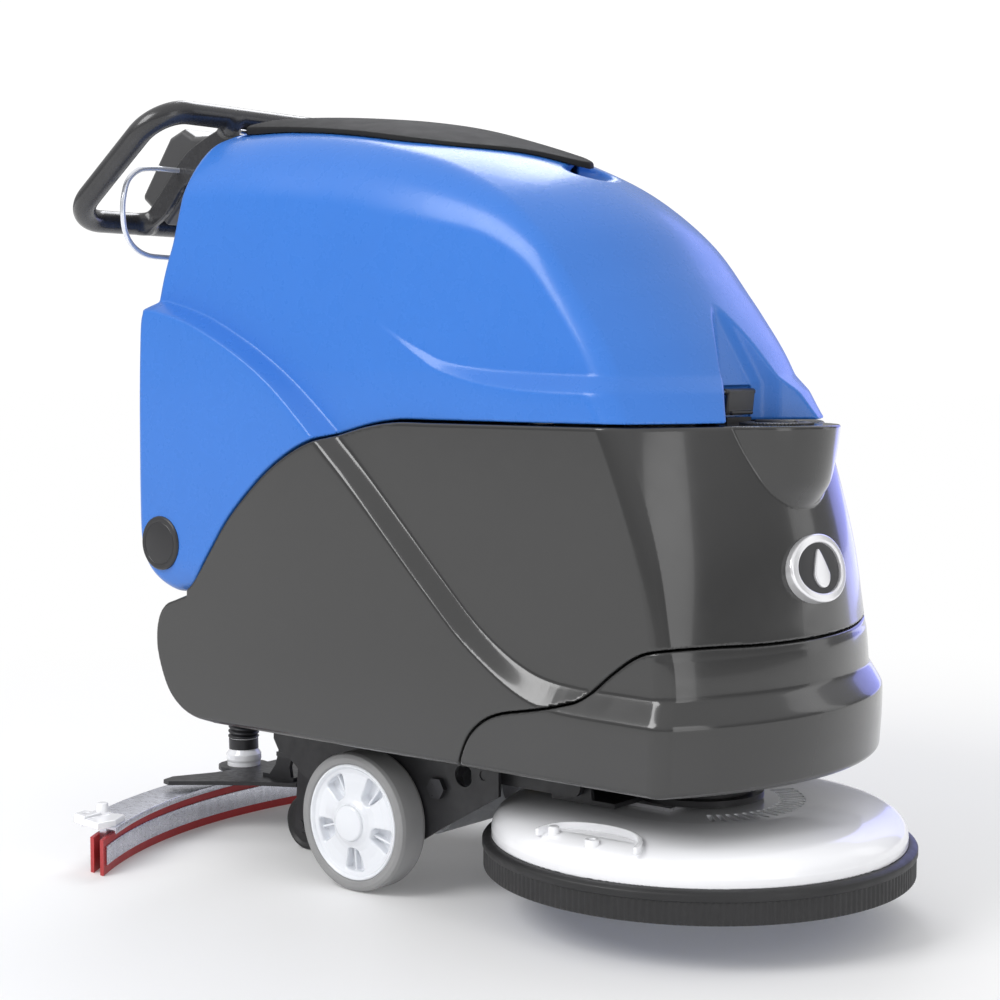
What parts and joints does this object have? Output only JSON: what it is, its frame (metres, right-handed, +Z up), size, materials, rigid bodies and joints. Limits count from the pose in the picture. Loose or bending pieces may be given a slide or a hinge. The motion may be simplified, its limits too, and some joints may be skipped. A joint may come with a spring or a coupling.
{
  "type": "floor scrubber",
  "caption": "Walk-behind floor scrubber with a disc brush deck, a tilting recovery tank over a solution tank, a loop handle and a curved rear squeegee.",
  "frame": {"origin": "on the floor, in the middle of the machine's footprint", "axes": "+X is the travel direction, +Y is the operator's left, +Z is up"},
  "size_m": [1.2495, 0.77, 1.0805],
  "materials": {
    "frame_black": "black powder coat",
    "fastener_steel": "zinc plated",
    "cast_alloy": "as cast",
    "lower_shell": "rotomoulded, glossy dark grey",
    "upper_shell": "rotomoulded, glossy blue",
    "black_plastic": "moulded, satin black",
    "lid_plastic": "moulded, glossy black",
    "badge_chrome": "bright chrome",
    "battery_case": "moulded case",
    "electronics_case": "moulded case",
    "valve_brass": "brass",
    "clear_hose": "translucent hose",
    "hose_rubber": "ribbed rubber",
    "tyre_grey": "grey non-marking rubber",
    "rim_white": "white nylon",
    "caster_rubber": "black rubber",
    "deck_white": "glossy white",
    "skirt_rubber": "black rubber",
    "bracket_silver": "brushed",
    "motor_grey": "painted",
    "brush_block": "moulded block",
    "bristle_blue": "nylon bristles",
    "blade_red": "red polyurethane blade",
    "strap_steel": "stainless strap",
    "squeegee_alloy": "cast and polished",
    "fitting_white": "white nylon",
    "lever_red": "red moulded lever",
    "panel_grey": "grey panel",
    "handle_black": "satin black coated tube",
    "bail_chrome": "bright rod",
    "float_orange": "hollow ball",
    "rocker_green": "green rocker"
  },
  "bodies": {
    "chassis": {"chassis_frame": "frame_black", "pins_and_bolts": "fastener_steel", "axle_shaft": "fastener_steel", "drive_transaxle": "cast_alloy", "solution_tank": "lower_shell", "front_cover": "lower_shell", "front_badge": "badge_chrome", "batteries": "battery_case", "power_electronics": "electronics_case", "hinge_brackets": "frame_black", "solution_valve": "valve_brass", "solution_drain_hose": "clear_hose", "rear_brackets": "black_plastic", "vacuum_hose_upper": "hose_rubber", "tank_pads": "skirt_rubber"},
    "filler_cap": {"filler_cap": "black_plastic"},
    "drive_wheel_right": {"drive_tyre_right": "tyre_grey", "drive_rim_right": "rim_white"},
    "drive_wheel_left": {"drive_tyre_left": "tyre_grey", "drive_rim_left": "rim_white"},
    "caster_right": {"caster_fork_right": "frame_black"},
    "caster_left": {"caster_fork_left": "frame_black"},
    "caster_wheel_right": {"caster_wheel_right": "caster_rubber"},
    "caster_wheel_left": {"caster_wheel_left": "caster_rubber"},
    "deck_arms": {"deck_lower_arms": "frame_black"},
    "deck_link": {"deck_upper_link": "frame_black"},
    "brush_deck": {"deck_carrier": "frame_black", "deck_bracket": "bracket_silver", "brush_motor": "motor_grey", "deck_cover": "deck_white", "deck_skirt": "skirt_rubber"},
    "brush": {"brush_disc": "brush_block", "brush_bristles": "bristle_blue"},
    "lift_pedal": {"lift_pedal": "frame_black"},
    "squeegee_arm": {"squeegee_arm": "frame_black", "vacuum_hose_lower": "hose_rubber"},
    "squeegee": {"squeegee_channel": "squeegee_alloy", "front_blade": "blade_red", "rear_blade": "blade_red", "blade_straps": "strap_steel", "squeegee_end_caps": "fitting_white", "suction_cuff": "fitting_white"},
    "squeegee_lever": {"squeegee_lever": "lever_red"},
    "recovery_tank": {"recovery_tank": "upper_shell", "hinge_caps": "black_plastic", "lid_and_latch_pins": "fastener_steel", "vacuum_motor": "electronics_case", "float_cage": "clear_hose", "rear_hoses": "hose_rubber", "console": "black_plastic", "control_panel": "panel_grey", "handle_frame": "handle_black"},
    "tank_lid": {"tank_lid": "lid_plastic"},
    "tank_latch": {"tank_latch": "black_plastic"},
    "float_ball": {"float_ball": "float_orange"},
    "key_switch": {"key_switch": "fastener_steel"},
    "speed_knob": {"speed_knob": "black_plastic"},
    "rocker_brush": {"rocker_brush": "rocker_green"},
    "rocker_vacuum": {"rocker_vacuum": "lever_red"},
    "bail_lever": {"bail_lever": "bail_chrome"}
  },
  "joints": [
    {"name": "tank_tilt", "type": "hinge", "parent": "chassis", "child": "recovery_tank", "pos_m": [-0.39925, 0, 0.454], "axis": [0, -1, 0], "range_deg": [0, 60]},
    {"name": "lid_open", "type": "hinge", "parent": "recovery_tank", "child": "tank_lid", "pos_m": [-0.33725, 0, 1.039], "axis": [0, -1, 0], "range_deg": [0, 80]},
    {"name": "latch_release", "type": "hinge", "parent": "recovery_tank", "child": "tank_latch", "pos_m": [0.40175, 0, 0.674], "axis": [0, -1, 0], "range_deg": [0, 50]},
    {"name": "float_rise", "type": "slide", "parent": "recovery_tank", "child": "float_ball", "axis": [0, 0, 1], "range_m": [0, 0.04]},
    {"name": "key_turn", "type": "hinge", "parent": "recovery_tank", "child": "key_switch", "pos_m": [-0.58227, -0.062, 1.01751], "axis": [-0.8011, 0, 0.5985], "range_deg": [0, 90]},
    {"name": "speed_turn", "type": "hinge", "parent": "recovery_tank", "child": "speed_knob", "pos_m": [-0.58227, 0.062, 1.01751], "axis": [-0.8011, 0, 0.5985], "range_deg": [-135, 135]},
    {"name": "brush_rocker", "type": "hinge", "parent": "recovery_tank", "child": "rocker_brush", "pos_m": [-0.57986, -0.026, 1.01572], "axis": [0, 1, 0], "range_deg": [-8, 8]},
    {"name": "vacuum_rocker", "type": "hinge", "parent": "recovery_tank", "child": "rocker_vacuum", "pos_m": [-0.57986, 0.026, 1.01572], "axis": [0, 1, 0], "range_deg": [-8, 8]},
    {"name": "bail_pull", "type": "hinge", "parent": "recovery_tank", "child": "bail_lever", "pos_m": [-0.52425, 0, 0.999], "axis": [0, 1, 0], "range_deg": [0, 30]},
    {"name": "filler_cap_lift", "type": "slide", "parent": "chassis", "child": "filler_cap", "axis": [0, 0, 1], "range_m": [0, 0.06]},
    {"name": "drive_wheel_right_spin", "type": "hinge", "parent": "chassis", "child": "drive_wheel_right", "pos_m": [-0.06325, 0, 0.094], "axis": [0, 1, 0], "continuous": true},
    {"name": "drive_wheel_left_spin", "type": "hinge", "parent": "chassis", "child": "drive_wheel_left", "pos_m": [-0.06325, 0, 0.094], "axis": [0, 1, 0], "continuous": true},
    {"name": "caster_right_swivel", "type": "hinge", "parent": "chassis", "child": "caster_right", "pos_m": [-0.23525, -0.09, 0.14], "axis": [0, 0, 1], "continuous": true},
    {"name": "caster_left_swivel", "type": "hinge", "parent": "chassis", "child": "caster_left", "pos_m": [-0.23525, 0.09, 0.14], "axis": [0, 0, 1], "continuous": true},
    {"name": "caster_wheel_right_spin", "type": "hinge", "parent": "caster_right", "child": "caster_wheel_right", "pos_m": [-0.26925, -0.09, 0.04], "axis": [0, 1, 0], "continuous": true},
    {"name": "caster_wheel_left_spin", "type": "hinge", "parent": "caster_left", "child": "caster_wheel_left", "pos_m": [-0.26925, 0.09, 0.04], "axis": [0, 1, 0], "continuous": true},
    {"name": "deck_lower", "type": "hinge", "parent": "chassis", "child": "deck_arms", "pos_m": [0.12675, 0, 0.176], "axis": [0, 1, 0], "range_deg": [0, 26]},
    {"name": "deck_level", "type": "hinge", "parent": "deck_arms", "child": "brush_deck", "pos_m": [0.25675, 0, 0.176], "axis": [0, 1, 0], "range_deg": [-26, 0]},
    {"name": "deck_link_turn", "type": "hinge", "parent": "chassis", "child": "deck_link", "pos_m": [0.12675, 0, 0.247], "axis": [0, 1, 0], "range_deg": [0, 26]},
    {"name": "brush_spin", "type": "hinge", "parent": "brush_deck", "child": "brush", "pos_m": [0.34475, 0, 0.1], "axis": [0, 0, 1], "continuous": true},
    {"name": "pedal_press", "type": "hinge", "parent": "chassis", "child": "lift_pedal", "pos_m": [-0.21525, 0, 0.128], "axis": [0, 1, 0], "range_deg": [0, 13]},
    {"name": "squeegee_lift", "type": "hinge", "parent": "chassis", "child": "squeegee_arm", "pos_m": [-0.29525, 0, 0.188], "axis": [0, 1, 0], "range_deg": [0, 16]},
    {"name": "squeegee_swing", "type": "hinge", "parent": "squeegee_arm", "child": "squeegee", "pos_m": [-0.51025, 0, 0.06], "axis": [0, 0, 1], "range_deg": [-15, 15]},
    {"name": "squeegee_lever_turn", "type": "hinge", "parent": "chassis", "child": "squeegee_lever", "pos_m": [-0.43525, 0, 0.3], "axis": [0, 1, 0], "range_deg": [0, 60]}
  ],
  "couplings": [
    {"joint": "deck_level", "follows": "deck_lower", "ratio": -1},
    {"joint": "deck_link_turn", "follows": "deck_lower", "ratio": 1},
    {"joint": "pedal_press", "follows": "deck_lower", "ratio": 0.5},
    {"joint": "squeegee_lever_turn", "follows": "squeegee_lift", "ratio": 3.75}
  ]
}
